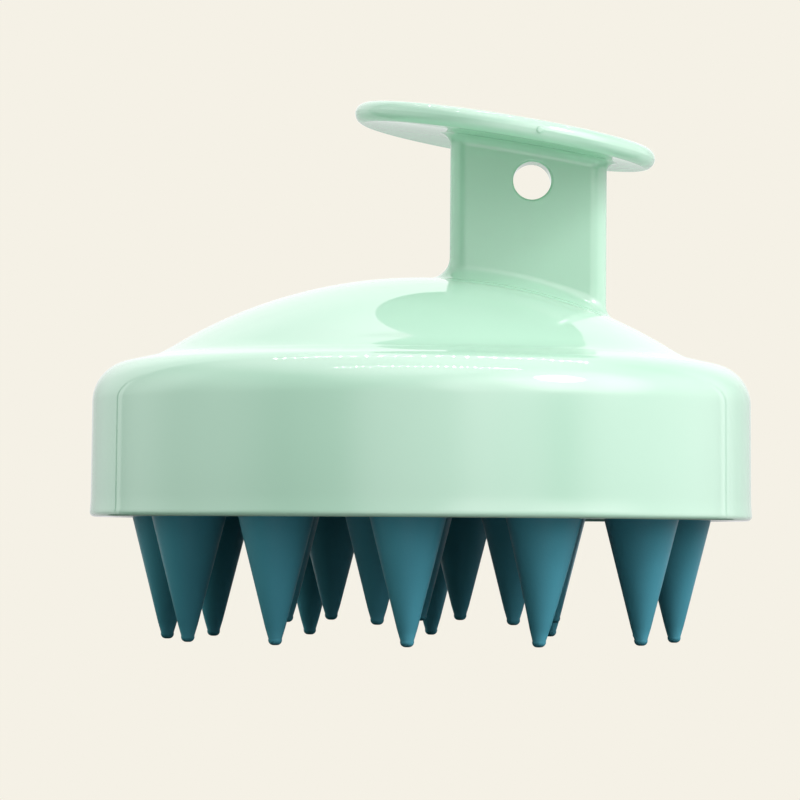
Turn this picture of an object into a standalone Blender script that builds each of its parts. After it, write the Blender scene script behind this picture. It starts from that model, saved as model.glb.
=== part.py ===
"""Scalp massager brush: a round plastic handle shell with a tilted finger grip, and a soft bristle pad.

Units are metres and +Z is up. The origin is on the body's axis, at the height of the outer bristles'
tips, so the brush stands on z = 0. +X is the side that the finger grip's stem stands on.
"""
import math

import bmesh
import bpy

MM = 0.001

# Driving dimensions ---------------------------------------------------------------------------------

# Shell: a skirt with a rounded shoulder, and a shallow dome inside the shoulder.
BODY_RADIUS = 40.0 * MM
SKIRT_HEIGHT = 18.85 * MM
SKIRT_DRAFT = 0.2 * MM
SHOULDER_ROUND = 5.0 * MM
SHOULDER_WIDTH = 8.6 * MM
SHOULDER_RISE = 1.0 * MM
DOME_RISE = 9.35 * MM
CREASE_BLEND = 0.8 * MM
WALL = 2.3 * MM
SEAT_LEDGE = 1.0 * MM
LOWER_EDGE_ROUND = 0.6 * MM
SNAP_BEAD = 0.6 * MM

# Stem: a flat web between the dome and the finger grip, with the hang hole through it.
STEM_WIDTH = 19.0 * MM
STEM_THICKNESS = 5.0 * MM
STEM_EDGE_ROUND = 2.2 * MM
STEM_ROUND_LIMIT = 0.45
STEM_OFFSET = 12.8 * MM
STEM_FOOT_FILLET = 2.0 * MM
STEM_HEAD_FILLET = 1.4 * MM
HANG_HOLE_DIAMETER = 4.6 * MM
HANG_HOLE_OFFSET = 0.4 * MM
HANG_HOLE_DROP = 4.9 * MM
HANG_HOLE_CHAMFER = 0.3 * MM

# Finger grip: a round, slightly crowned plate that tilts down over the stem, and a touch to the front.
GRIP_RADIUS = 18.5 * MM
GRIP_THICKNESS = 2.5 * MM
GRIP_CROWN = 0.6 * MM
GRIP_OFFSET = 9.9 * MM
GRIP_LIFT = 17.3 * MM
GRIP_TILT = math.radians(8.9)
GRIP_FRONT_TILT = math.radians(1.1)

# Bristle pad: a disc whose lip wraps the rim of a stiff plate, and three rings of tapered bristles.
PAD_THICKNESS = 1.6 * MM
PAD_LIP = 1.1 * MM
PAD_LIP_REACH = 2.0 * MM
PAD_RECESS = 1.0 * MM
PLATE_THICKNESS = 1.8 * MM
PLATE_RIB_HEIGHT = 3.0 * MM
PLATE_RIB_WIDTH = 1.2 * MM
PLATE_RIB_RADII = (12.0 * MM, 24.0 * MM)
FIT = 0.3 * MM

BRISTLE_REACH = 14.7 * MM
BRISTLE_TAPER = math.radians(14.2)
BRISTLE_TIP_FLAT = 0.5 * MM
BRISTLE_TIP_RADIUS = 0.8 * MM
BRISTLE_TIP_ROUND = 0.4 * MM
BRISTLE_ROOT_FILLET = 0.5 * MM
OUTER_RING_INSET = 9.3 * MM
RING_SPACING = 14.3 * MM
# Each ring: how many bristles, the first one's angle from -Y towards +X, and how much shorter they are.
OUTER_RING = (12, math.radians(-2.7), 0.0)
INNER_RING = (6, math.radians(-17.8), 2.2 * MM)
CENTRE_BRISTLE = (1, 0.0, 2.4 * MM)

# Facets: how many round each turned piece, and how many points along its curves.
BODY_SEGMENTS = 64
GRIP_SEGMENTS = 56
PLATE_SEGMENTS = 48
BRISTLE_SEGMENTS = 18
HOLE_SEGMENTS = 24
DOME_POINTS = 8
CROWN_POINTS = 4
STEM_CORNER_STEPS = 5
FILLET_STEPS = 4
ARC_STEP = math.radians(15)
# Curves stop a little short of tangent, so that solids cross each other cleanly where they join.
FILLET_SWEEP = math.radians(72)
RIM_SWEEP = math.radians(84)
SHOULDER_SWEEP = math.radians(88)
WELD = 1e-6

# Places that follow from them ------------------------------------------------------------------------

SKIRT_FOOT_Z = BRISTLE_REACH
SHOULDER_Z = SKIRT_FOOT_Z + SKIRT_HEIGHT
SKIRT_TOP_RADIUS = BODY_RADIUS - SKIRT_DRAFT
DOME_EDGE_RADIUS = BODY_RADIUS - SHOULDER_WIDTH
DOME_EDGE_Z = SHOULDER_Z + SHOULDER_RISE
DOME_TOP_Z = DOME_EDGE_Z + DOME_RISE
DOME_SPHERE = (DOME_EDGE_RADIUS ** 2 + DOME_RISE ** 2) / (2 * DOME_RISE)
DOME_CENTRE_Z = DOME_TOP_Z - DOME_SPHERE

MOUTH_RADIUS = BODY_RADIUS - WALL
PAD_FACE_Z = SKIRT_FOOT_Z + PAD_RECESS
PAD_BACK_Z = PAD_FACE_Z + PAD_THICKNESS
PAD_RADIUS = MOUTH_RADIUS - FIT
PLATE_RADIUS = PAD_RADIUS - PAD_LIP - FIT
PLATE_FACE_Z = PAD_BACK_Z + FIT
PLATE_BACK_Z = PLATE_FACE_Z + PLATE_THICKNESS
LIP_FACE_Z = PLATE_BACK_Z + FIT
LIP_BACK_Z = LIP_FACE_Z + PAD_LIP
SEAT_Z = LIP_BACK_Z + FIT

GRIP_CENTRE_Z = DOME_TOP_Z + GRIP_LIFT
HANG_HOLE_X = STEM_OFFSET + HANG_HOLE_OFFSET
HANG_HOLE_Z = GRIP_CENTRE_Z - (HANG_HOLE_X - GRIP_OFFSET) * math.tan(GRIP_TILT) - HANG_HOLE_DROP


# Helpers ---------------------------------------------------------------------------------------------

def clear_scene():
    """Start from an empty scene."""
    for ob in list(bpy.data.objects):
        bpy.data.objects.remove(ob)


def plastic(name, colour, roughness):
    """A plain dielectric material."""
    material = bpy.data.materials.new(name)
    material.use_nodes = True
    shader = material.node_tree.nodes["Principled BSDF"]
    shader.inputs["Base Color"].default_value = (*colour, 1.0)
    shader.inputs["Roughness"].default_value = roughness
    shader.inputs["Metallic"].default_value = 0.0
    return material


def add_object(name, mesh, material):
    """Put a mesh in the scene under its node's name."""
    ob = bpy.data.objects.new(name, mesh)
    bpy.context.scene.collection.objects.link(ob)
    mesh.materials.append(material)
    return ob


def arc(centre_r, centre_z, radius, start, end):
    """Points along a round in the (r, z) plane, with angles from +r towards +z, both ends included."""
    steps = max(2, math.ceil(abs(end - start) / ARC_STEP))
    angles = [start + (end - start) * i / steps for i in range(steps + 1)]
    return [(centre_r + radius * math.cos(a), centre_z + radius * math.sin(a)) for a in angles]


def turned(name, outline, segments, material):
    """Spin an (r, z) outline about Z. It starts at the top of the axis and runs down the outer side."""
    mesh = bpy.data.meshes.new(name)
    mesh.from_pydata([(r, 0.0, z) for r, z in outline],
                     [(i, i + 1) for i in range(len(outline) - 1)], [])
    ob = add_object(name, mesh, material)
    screw = ob.modifiers.new("turn", "SCREW")
    screw.steps = segments
    screw.render_steps = segments
    screw.use_merge_vertices = True
    screw.merge_threshold = WELD
    return ob


def combine(ob, tool, operation):
    """Join a tool to an object, or cut it out of the object, and hide the tool."""
    tool.hide_render = True
    tool.display_type = "WIRE"
    boolean = ob.modifiers.new(tool.name, "BOOLEAN")
    boolean.operation = operation
    boolean.object = tool


def apply_modifiers(ob):
    """Keep the evaluated mesh as the object's own."""
    depsgraph = bpy.context.evaluated_depsgraph_get()
    mesh = bpy.data.meshes.new_from_object(ob.evaluated_get(depsgraph))
    ob.modifiers.clear()
    ob.data = mesh


def shade_round(ob):
    """Smooth shading that keeps the real edges sharp."""
    ob.data.shade_smooth()
    ob.data.set_sharp_from_angle(angle=math.radians(32))


# Handle shell ----------------------------------------------------------------------------------------

def dome_height(r, offset=0.0):
    """Height of the dome's surface at radius r, or of a surface that lies parallel to it inside."""
    return DOME_CENTRE_Z + math.sqrt((DOME_SPHERE - offset) ** 2 - r ** 2)


def dome_arc(edge_r, offset):
    """The dome from its top out to edge_r."""
    radii = [edge_r * i / (DOME_POINTS - 1) for i in range(DOME_POINTS)]
    return [(r, dome_height(r, offset)) for r in radii]


def shell_outside():
    """Dome, crease, shoulder, skirt and the skirt's rounded lower edge."""
    corner_r = SKIRT_TOP_RADIUS - SHOULDER_ROUND
    corner_z = SHOULDER_Z - SHOULDER_ROUND
    slope = SHOULDER_RISE / (corner_r - DOME_EDGE_RADIUS)
    crease_z = DOME_EDGE_Z - CREASE_BLEND * slope
    crease = [(DOME_EDGE_RADIUS + CREASE_BLEND, crease_z)]
    shoulder = arc(corner_r, corner_z, SHOULDER_ROUND, SHOULDER_SWEEP, 0.0)
    foot = arc(BODY_RADIUS - LOWER_EDGE_ROUND, SKIRT_FOOT_Z + LOWER_EDGE_ROUND, LOWER_EDGE_ROUND,
               0.0, math.radians(-90))
    return dome_arc(DOME_EDGE_RADIUS - CREASE_BLEND, 0.0) + crease + shoulder + foot


def shell_inside():
    """From the skirt's mouth up past the snap bead and the seat ledge to the underside of the dome."""
    bead_r = MOUTH_RADIUS - SNAP_BEAD
    bead_top = PAD_FACE_Z - FIT
    bead_slope = SNAP_BEAD / 3
    wall_r = MOUTH_RADIUS - SEAT_LEDGE
    ceiling_round = SHOULDER_ROUND - WALL
    ceiling_z = SHOULDER_Z - WALL
    mouth = [(MOUTH_RADIUS, SKIRT_FOOT_Z),
             (bead_r, SKIRT_FOOT_Z + FIT),
             (bead_r, bead_top - bead_slope),
             (MOUTH_RADIUS, bead_top)]
    ledge = [(MOUTH_RADIUS, SEAT_Z),
             (wall_r, SEAT_Z)]
    corner = arc(wall_r - ceiling_round, ceiling_z - ceiling_round, ceiling_round, 0.0, math.radians(90))
    dome_edge = DOME_EDGE_RADIUS - WALL
    return mouth + ledge + corner + list(reversed(dome_arc(dome_edge, WALL)))


def grip_under(x, y):
    """Height of the finger grip's crowned underside over a point."""
    across = math.hypot((x - GRIP_OFFSET) / math.cos(GRIP_TILT), y / math.cos(GRIP_FRONT_TILT))
    rise = GRIP_CROWN * (1 - (across / GRIP_RADIUS) ** 2) - GRIP_THICKNESS / 2
    side_drop = (x - GRIP_OFFSET) * math.tan(GRIP_TILT)
    front_drop = -y * math.tan(GRIP_FRONT_TILT) / math.cos(GRIP_TILT)
    upright = math.cos(GRIP_TILT) * math.cos(GRIP_FRONT_TILT)
    return GRIP_CENTRE_Z - side_drop - front_drop + rise / upright


def dome_over(x, y):
    """Height of the dome's surface over a point."""
    return dome_height(math.hypot(x, y))


def stem_section():
    """The stem's cross-section: (x, y, outward x, outward y) round a rounded rectangle."""
    edge_round = min(STEM_EDGE_ROUND, STEM_THICKNESS * STEM_ROUND_LIMIT)
    half_x = STEM_WIDTH / 2 - edge_round
    half_y = STEM_THICKNESS / 2 - edge_round
    points = []
    for corner, (side_x, side_y) in enumerate(((1, 1), (-1, 1), (-1, -1), (1, -1))):
        for step in range(STEM_CORNER_STEPS + 1):
            angle = math.pi / 2 * (corner + step / STEM_CORNER_STEPS)
            out_x = math.cos(angle)
            out_y = math.sin(angle)
            points.append((STEM_OFFSET + side_x * half_x + edge_round * out_x,
                           side_y * half_y + edge_round * out_y, out_x, out_y))
    return points


def stem_ring(spread, height_at, lift):
    """One loop round the stem, spread outwards, at a lift over the surface that height_at gives."""
    ring = []
    for x, y, out_x, out_y in stem_section():
        px = x + spread * out_x
        py = y + spread * out_y
        ring.append((px, py, height_at(px, py) + lift))
    return ring


def fillet_rings(fillet, height_at, side, sunk):
    """Loops down the stem's fillet and on into the surface. side is 1 over a surface and -1 under it."""
    angles = [FILLET_SWEEP * i / FILLET_STEPS for i in range(FILLET_STEPS + 1)]
    rings = [stem_ring(fillet * (1 - math.cos(a)), height_at, side * fillet * (1 - math.sin(a)))
             for a in angles]
    return rings + [stem_ring(fillet * (1 - math.cos(angles[-1])), height_at, -side * sunk)]


def stem_rings():
    """Loops from inside the dome's wall, up a fillet and the stem, to a fillet inside the grip."""
    sunk = GRIP_THICKNESS / 2
    foot = fillet_rings(STEM_FOOT_FILLET, dome_over, 1, sunk)
    head = fillet_rings(STEM_HEAD_FILLET, grip_under, -1, sunk)
    return list(reversed(foot)) + head


def make_stem(material):
    """A closed solid skinned over the stem's loops."""
    bm = bmesh.new()
    loops = []
    for ring in stem_rings():
        verts = [bm.verts.new(p) for p in ring]
        loops.append([bm.edges.new((verts[i - 1], verts[i])) for i in range(len(verts))])
    for lower, upper in zip(loops, loops[1:]):
        bmesh.ops.bridge_loops(bm, edges=lower + upper)
    bmesh.ops.holes_fill(bm, edges=loops[0] + loops[-1])
    bmesh.ops.recalc_face_normals(bm, faces=bm.faces)
    mesh = bpy.data.meshes.new("stem")
    bm.to_mesh(mesh)
    bm.free()
    return add_object("stem", mesh, material)


def make_grip(material):
    """The tilted finger grip, turned about its own axis."""
    half = GRIP_THICKNESS / 2
    flat_r = GRIP_RADIUS - half
    radii = [flat_r * i / CROWN_POINTS for i in range(CROWN_POINTS)]
    crown = [GRIP_CROWN * (1 - (r / GRIP_RADIUS) ** 2) for r in radii]
    top = [(r, rise + half) for r, rise in zip(radii, crown)]
    rim = arc(flat_r, 0.0, half, RIM_SWEEP, -RIM_SWEEP)
    under = [(r, rise - half) for r, rise in zip(radii, crown)]
    grip = turned("grip", top + rim + list(reversed(under)), GRIP_SEGMENTS, material)
    grip.location = (GRIP_OFFSET, 0.0, GRIP_CENTRE_Z)
    grip.rotation_euler = (GRIP_FRONT_TILT, GRIP_TILT, 0.0)
    return grip


def make_hang_hole(material):
    """Cutter for the hang hole, chamfered at both faces of the stem."""
    bore = HANG_HOLE_DIAMETER / 2
    half = STEM_THICKNESS / 2
    past = half + HANG_HOLE_CHAMFER
    flare = bore + 2 * HANG_HOLE_CHAMFER
    outline = [(0.0, past), (flare, past), (bore, half - HANG_HOLE_CHAMFER),
               (bore, -half + HANG_HOLE_CHAMFER), (flare, -past), (0.0, -past)]
    cutter = turned("hang_hole", outline, HOLE_SEGMENTS, material)
    cutter.location = (HANG_HOLE_X, 0.0, HANG_HOLE_Z)
    cutter.rotation_euler = (math.radians(90), 0.0, 0.0)
    return cutter


def make_handle_shell():
    """One glossy moulding: dome, shoulder, skirt, stem and finger grip."""
    material = plastic("moulded_abs_mint", (0.53, 0.78, 0.64), 0.22)
    shell = turned("handle_shell", shell_outside() + shell_inside(), BODY_SEGMENTS, material)
    tools = [make_stem(material), make_grip(material), make_hang_hole(material)]
    for tool, operation in zip(tools, ("UNION", "UNION", "DIFFERENCE")):
        combine(shell, tool, operation)
    apply_modifiers(shell)
    for tool in tools:
        bpy.data.objects.remove(tool)
    shade_round(shell)


# Bristle pad and its plate ---------------------------------------------------------------------------

def bristle_outline(tip_z):
    """Half of a bristle, from its buried root down a fillet and the taper to its blunt rounded tip."""
    round_z = tip_z + BRISTLE_TIP_ROUND
    fillet_z = PAD_FACE_Z - BRISTLE_ROOT_FILLET
    fillet_r = BRISTLE_TIP_RADIUS + (fillet_z - round_z) * math.tan(BRISTLE_TAPER)
    angles = [FILLET_SWEEP * i / 2 for i in (2, 1, 0)]
    fillet = [(fillet_r + BRISTLE_ROOT_FILLET * (1 - math.cos(a)),
               fillet_z + BRISTLE_ROOT_FILLET * math.sin(a)) for a in angles]
    buried_z = PAD_FACE_Z + PAD_THICKNESS / 2
    tip_width = BRISTLE_TIP_RADIUS - BRISTLE_TIP_FLAT
    tip_round = [(BRISTLE_TIP_FLAT + tip_width * math.cos(a), round_z - BRISTLE_TIP_ROUND * math.sin(a))
                 for a in (0.0, math.pi / 4, math.pi / 2)]
    return [(0.0, buried_z), (fillet[0][0], buried_z)] + fillet + tip_round + [(0.0, tip_z)]


def bristle_places():
    """(x, y, tip height) of every bristle, ring by ring."""
    outer_radius = BODY_RADIUS - OUTER_RING_INSET
    rings = ((outer_radius, OUTER_RING), (outer_radius - RING_SPACING, INNER_RING), (0.0, CENTRE_BRISTLE))
    places = []
    for radius, (count, first, shorter) in rings:
        for i in range(count):
            angle = first + 2 * math.pi * i / count
            places.append((radius * math.sin(angle), -radius * math.cos(angle), shorter))
    return places


def pad_outline():
    """The disc, with a lip that runs up round the plate's rim and folds in over its back."""
    lip_inside = PAD_RADIUS - PAD_LIP
    lip_end = lip_inside - PAD_LIP_REACH
    edge = PAD_LIP / 2
    return [(0.0, PAD_BACK_Z), (lip_inside, PAD_BACK_Z), (lip_inside, LIP_FACE_Z),
            (lip_end, LIP_FACE_Z), (lip_end, LIP_BACK_Z), (PAD_RADIUS, LIP_BACK_Z),
            (PAD_RADIUS, PAD_FACE_Z + edge), (PAD_RADIUS - edge, PAD_FACE_Z), (0.0, PAD_FACE_Z)]


def make_bristle_pad():
    """One soft moulding: the pad and all its bristles."""
    material = plastic("moulded_silicone_teal", (0.018, 0.10, 0.11), 0.45)
    pad = turned("bristle_pad", pad_outline(), BODY_SEGMENTS, material)
    tools = []
    for number, (x, y, shorter) in enumerate(bristle_places()):
        bristle = turned(f"bristle_{number}", bristle_outline(shorter), BRISTLE_SEGMENTS, material)
        bristle.location = (x, y, 0.0)
        combine(pad, bristle, "UNION")
        tools.append(bristle)
    apply_modifiers(pad)
    for tool in tools:
        bpy.data.objects.remove(tool)
    shade_round(pad)


def make_pad_plate():
    """The stiff plate inside the pad, with two round ribs on its back."""
    material = plastic("moulded_abs_teal", (0.02, 0.09, 0.10), 0.4)
    outline = [(0.0, PLATE_BACK_Z)]
    for radius in PLATE_RIB_RADII:
        outline += [(radius, PLATE_BACK_Z), (radius, PLATE_BACK_Z + PLATE_RIB_HEIGHT),
                    (radius + PLATE_RIB_WIDTH, PLATE_BACK_Z + PLATE_RIB_HEIGHT),
                    (radius + PLATE_RIB_WIDTH, PLATE_BACK_Z)]
    outline += [(PLATE_RADIUS, PLATE_BACK_Z), (PLATE_RADIUS, PLATE_FACE_Z), (0.0, PLATE_FACE_Z)]
    plate = turned("pad_plate", outline, PLATE_SEGMENTS, material)
    apply_modifiers(plate)
    shade_round(plate)


clear_scene()
make_handle_shell()
make_bristle_pad()
make_pad_plate()
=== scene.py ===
# %% [markdown]
# # A scalp massager brush
# A scalp massager is held between two fingers: a round glossy shell with a tilted finger grip on a flat
# stem, and under it a soft pad with nineteen bristles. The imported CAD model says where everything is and
# how big it is. It is loaded first and stays fixed, and finer pieces are then built over it.

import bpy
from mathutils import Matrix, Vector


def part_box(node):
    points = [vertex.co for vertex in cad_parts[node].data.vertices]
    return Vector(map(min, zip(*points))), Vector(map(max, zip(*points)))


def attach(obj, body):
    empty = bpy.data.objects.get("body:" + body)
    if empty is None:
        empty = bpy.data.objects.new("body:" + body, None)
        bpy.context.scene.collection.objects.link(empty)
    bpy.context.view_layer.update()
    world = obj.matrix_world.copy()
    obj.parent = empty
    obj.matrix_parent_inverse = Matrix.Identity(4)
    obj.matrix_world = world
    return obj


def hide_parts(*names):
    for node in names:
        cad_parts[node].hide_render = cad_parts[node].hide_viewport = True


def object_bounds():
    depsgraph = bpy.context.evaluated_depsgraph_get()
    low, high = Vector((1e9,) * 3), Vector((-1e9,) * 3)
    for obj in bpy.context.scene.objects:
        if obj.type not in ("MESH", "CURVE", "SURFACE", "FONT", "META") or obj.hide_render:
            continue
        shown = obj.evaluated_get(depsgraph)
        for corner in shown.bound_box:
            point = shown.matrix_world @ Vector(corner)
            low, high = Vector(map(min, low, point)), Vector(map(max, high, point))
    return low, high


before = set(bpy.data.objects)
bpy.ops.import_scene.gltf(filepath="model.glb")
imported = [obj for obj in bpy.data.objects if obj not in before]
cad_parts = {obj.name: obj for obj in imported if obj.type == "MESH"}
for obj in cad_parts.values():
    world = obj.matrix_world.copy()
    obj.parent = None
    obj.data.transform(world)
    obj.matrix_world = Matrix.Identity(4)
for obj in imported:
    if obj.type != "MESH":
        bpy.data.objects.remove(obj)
cad_low, cad_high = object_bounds()
print("CAD box, mm:", [round(c * 1000, 2) for c in (*cad_low, *cad_high)])

# %% [markdown]
# Blender works in metres here, and the sizes below are in millimetres, because that is how a maker of
# small mouldings thinks. `MM` turns one into the other. Every height starts from the CAD box of a piece.

# %% Modules, units and the pieces' places
import math

import bmesh
import bpy
import numpy as np
from mathutils import Euler, Matrix, Vector

MM = 0.001
shell_low, shell_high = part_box("handle_shell")
pad_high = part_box("bristle_pad")[1]
BODY_RADIUS = shell_high.x
FOOT_Z = shell_low.z
print(f"body {2000 * BODY_RADIUS:.1f} mm across, skirt foot at {1000 * FOOT_Z:.2f} mm")

# %% [markdown]
# ## Sizes of the shell
# The shell is one moulding, so its sizes hang together: the dome sits inside the shoulder, the stem
# stands on the dome, and the grip sits on the stem. They repeat the driving sizes of the CAD model.

# %% Shell sizes
SKIRT_HEIGHT = 18.85 * MM
SKIRT_DRAFT = 0.2 * MM
SKIRT_FLARE = 0.12 * MM
FLARE_HEIGHT = 1.9 * MM
FOOT_ROUND = 0.6 * MM
SHOULDER_ROUND = 5.0 * MM
SHOULDER_SLOPE = math.radians(12.5)
DOME_EDGE_RADIUS = BODY_RADIUS - 8.6 * MM
DOME_EDGE_Z = FOOT_Z + SKIRT_HEIGHT + 1.0 * MM
DOME_RISE = 9.35 * MM
CREASE_BLEND = 1.3 * MM
WALL = 2.3 * MM
DOME_TOP_Z = DOME_EDGE_Z + DOME_RISE
DOME_SPHERE = (DOME_EDGE_RADIUS ** 2 + DOME_RISE ** 2) / (2 * DOME_RISE)
DOME_CENTRE_Z = DOME_TOP_Z - DOME_SPHERE
print(f"dome: sphere of {1000 * DOME_SPHERE:.1f} mm, top at {1000 * DOME_TOP_Z:.2f} mm")

# %% [markdown]
# The stem is a flat blade with rounded edges, and the grip is a thin round disc on it, tilted down to the
# right and a little to the front. The hang hole sits under the grip, a little to the right of the stem's
# middle, and its height follows the grip's underside.

# %% Stem and grip sizes
STEM_WIDTH = 19.0 * MM
STEM_THICKNESS = 5.0 * MM
STEM_EDGE_ROUND = 2.2 * MM
STEM_X = 12.8 * MM
FOOT_FILLET = 1.95 * MM
FOOT_FILLET_LEAN = 0.75 * MM
HEAD_FILLET = 1.4 * MM
HOLE_DIAMETER = 4.6 * MM
HOLE_EDGE_ROUND = 0.35 * MM
GRIP_RADIUS = 18.45 * MM
GRIP_THICKNESS = 2.45 * MM
GRIP_CROWN = 0.6 * MM
GRIP_TILT = math.radians(8.9)
GRIP_FRONT_TILT = math.radians(1.1)
GRIP_CENTRE = Vector((9.9 * MM, 0.0, DOME_TOP_Z + 17.23 * MM))
HOLE_X = STEM_X + 0.4 * MM
HOLE_Z = GRIP_CENTRE.z - (HOLE_X - GRIP_CENTRE.x) * math.tan(GRIP_TILT) - 4.9 * MM
print(f"hang hole at x {1000 * HOLE_X:.1f}, z {1000 * HOLE_Z:.1f} mm")

# %% [markdown]
# ## One skin for the whole shell
# A glossy moulding shows every flaw in its mesh, because its reflections bend wherever the faces do.
# Uniting a dome, a stem and a disc with Booleans leaves thin triangles round each joint, which smear the
# gloss. So the shell is lofted instead: a stack of closed loops with the same number of points in each,
# from the middle of the grip's top, over its rim, down the stem, out over the dome, down the skirt and
# back up inside. Joining neighbouring loops with four-sided faces gives one clean, closed skin.

# %% Loops of points
EDGE_STEPS, CORNER_STEPS, FACE_STEPS = 2, 26, 36
LOOP = 4 * (EDGE_STEPS + CORNER_STEPS + FACE_STEPS)


def circle_loop(radius):
    """The (x, y) points of a circle about the axis, one loop long."""
    angles = np.arange(LOOP) * 2 * math.pi / LOOP
    return radius * np.column_stack([np.cos(angles), np.sin(angles)])


def stem_loop():
    """The stem's rounded section about its own middle: (x, y, outward x, outward y)."""
    half_x = STEM_WIDTH / 2 - STEM_EDGE_ROUND
    half_y = STEM_THICKNESS / 2 - STEM_EDGE_ROUND
    edge = [(STEM_WIDTH / 2, half_y * i / EDGE_STEPS, 1, 0) for i in range(EDGE_STEPS)]
    turns = [math.pi / 2 * i / CORNER_STEPS for i in range(CORNER_STEPS)]
    corner = [(half_x + STEM_EDGE_ROUND * math.cos(a), half_y + STEM_EDGE_ROUND * math.sin(a),
               math.cos(a), math.sin(a)) for a in turns]
    face = [(half_x * (1 - i / FACE_STEPS), STEM_THICKNESS / 2, 0, 1) for i in range(FACE_STEPS)]
    first = np.array(edge + corner + face)
    middle = np.array([[0, STEM_THICKNESS / 2, 0, 1]])
    second = np.vstack([middle, first[:0:-1]]) * [-1, 1, -1, 1]
    half = np.vstack([first, second])
    return np.vstack([half, -half]) + [STEM_X, 0, 0, 0]


STEM_LOOP = stem_loop()
print("points in each loop:", len(STEM_LOOP), "=", LOOP)

# %% [markdown]
# ## Surfaces that the stem runs between
# The stem starts on the dome and ends under the grip. Its fillets must leave both surfaces without a
# crease, so each loop of a fillet takes its height from the surface under it and adds the fillet's own
# lift. The dome is part of a sphere, and the grip's faces are very slightly crowned.

# %% Heights of the dome and the grip's underside
def dome_height(x, y, inside=0.0):
    """The dome's height over a point, or that of a surface parallel to it inside."""
    return DOME_CENTRE_Z + np.sqrt((DOME_SPHERE - inside) ** 2 - x ** 2 - y ** 2)


def grip_height(x, y, side):
    """The height of the grip's top (side 1) or underside (side -1) over a point."""
    off_middle = side * GRIP_THICKNESS / 2
    along = (x - GRIP_CENTRE.x - off_middle * math.sin(GRIP_TILT)) / math.cos(GRIP_TILT)
    across = (y + off_middle * math.sin(GRIP_FRONT_TILT)) / math.cos(GRIP_FRONT_TILT)
    crown = GRIP_CROWN * (1 - (along ** 2 + across ** 2) / GRIP_RADIUS ** 2)
    side_drop = (x - GRIP_CENTRE.x) * math.tan(GRIP_TILT)
    front_drop = -y * math.tan(GRIP_FRONT_TILT) / math.cos(GRIP_TILT)
    upright = math.cos(GRIP_TILT) * math.cos(GRIP_FRONT_TILT)
    return GRIP_CENTRE.z - side_drop - front_drop + (crown + side * GRIP_THICKNESS / 2) / upright


print(f"stem: {1000 * (grip_height(STEM_X, 0, -1) - dome_height(STEM_X, 0)):.1f} mm tall on its axis")

# %% [markdown]
# A fillet is a quarter round, and here it runs round the stem's section. Each of its loops spreads a
# little wider than the last and lies a little nearer to the surface. The foot's fillet is wider on the
# left than on the right, so its radius is a list with one value for each point of the loop.

# %% Stem loops with a fillet at each end
FILLET_STEPS = 14
STEM_STEPS = 10


def on_surface(xy, height, lift=0.0):
    """A loop of 3-D points at a lift over a surface."""
    x, y = xy[:, 0], xy[:, 1]
    return np.column_stack([x, y, height(x, y) + lift])


def fillet_loops(radius, height, side):
    """From the surface to the stem's straight part; side is 1 above a surface and -1 under it."""
    loops = []
    for i in range(FILLET_STEPS + 1):
        angle = math.pi / 2 * i / FILLET_STEPS
        spread = radius * (1 - math.sin(angle))
        xy = STEM_LOOP[:, :2] + spread[:, None] * STEM_LOOP[:, 2:]
        loops.append(on_surface(xy, height, side * radius * (1 - math.cos(angle))))
    return loops


def under_grip(x, y):
    return grip_height(x, y, -1)


foot_radius = FOOT_FILLET - FOOT_FILLET_LEAN * STEM_LOOP[:, 2]
head_radius = np.full(LOOP, HEAD_FILLET)
foot_loops = fillet_loops(foot_radius, dome_height, 1)
head_loops = fillet_loops(head_radius, under_grip, -1)
print("fillet loops:", len(foot_loops) + len(head_loops))

# %% [markdown]
# ## Spreading a loop into a circle
# Between the stem's foot and the dome's edge the loops change from a rounded oblong to a circle. Each
# point slides along a straight line in plan, and its height always comes from the dome, so the surface
# stays exactly spherical whatever the mesh does. The grip's two faces are made the same way.

# %% Loops that change shape on a surface
DOME_STEPS = 26
GRIP_STEPS = 16
CROWDING = 1.3


def spread_loops(inner, outer, height, steps):
    """Loops between two (x, y) loops, closer together at the inner one, without the inner one."""
    shares = (np.arange(1, steps + 1) / steps) ** CROWDING
    return [on_surface(inner + (outer - inner) * s, height) for s in shares]


dome_circle = circle_loop(DOME_EDGE_RADIUS - CREASE_BLEND)
dome_loops = spread_loops(foot_loops[0][:, :2], dome_circle, dome_height, DOME_STEPS)
rim_radius = GRIP_RADIUS - GRIP_THICKNESS / 2
rim_crown = GRIP_CROWN * (1 - (rim_radius / GRIP_RADIUS) ** 2)
grip_turn = Euler((GRIP_FRONT_TILT, GRIP_TILT, 0.0)).to_matrix()


def tilted(points):
    """Points about the grip's own axis, put in place with its tilt."""
    return points @ np.array(grip_turn).T + np.array(GRIP_CENTRE)


def face_edge(side):
    """The plan of the edge where the grip's top or underside meets its rim."""
    level = np.full(LOOP, rim_crown + side * GRIP_THICKNESS / 2)
    return tilted(np.column_stack([circle_loop(rim_radius), level]))[:, :2]


under_loops = spread_loops(head_loops[0][:, :2], face_edge(-1), under_grip, GRIP_STEPS)
print("loops on the dome and under the grip:", len(dome_loops), len(under_loops))

# %% [markdown]
# ## The grip's rim
# The rim is a half round that runs from one crowned face to the other. The mould parts along its middle,
# which leaves a hair-thin raised line there on the real object, so the half round swells by a few
# hundredths of a millimetre over a few degrees.

# %% Rim and top of the grip
RIM_STEPS = 36
PARTING_LINE = 0.03 * MM
PARTING_WIDTH = math.radians(4)

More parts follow.
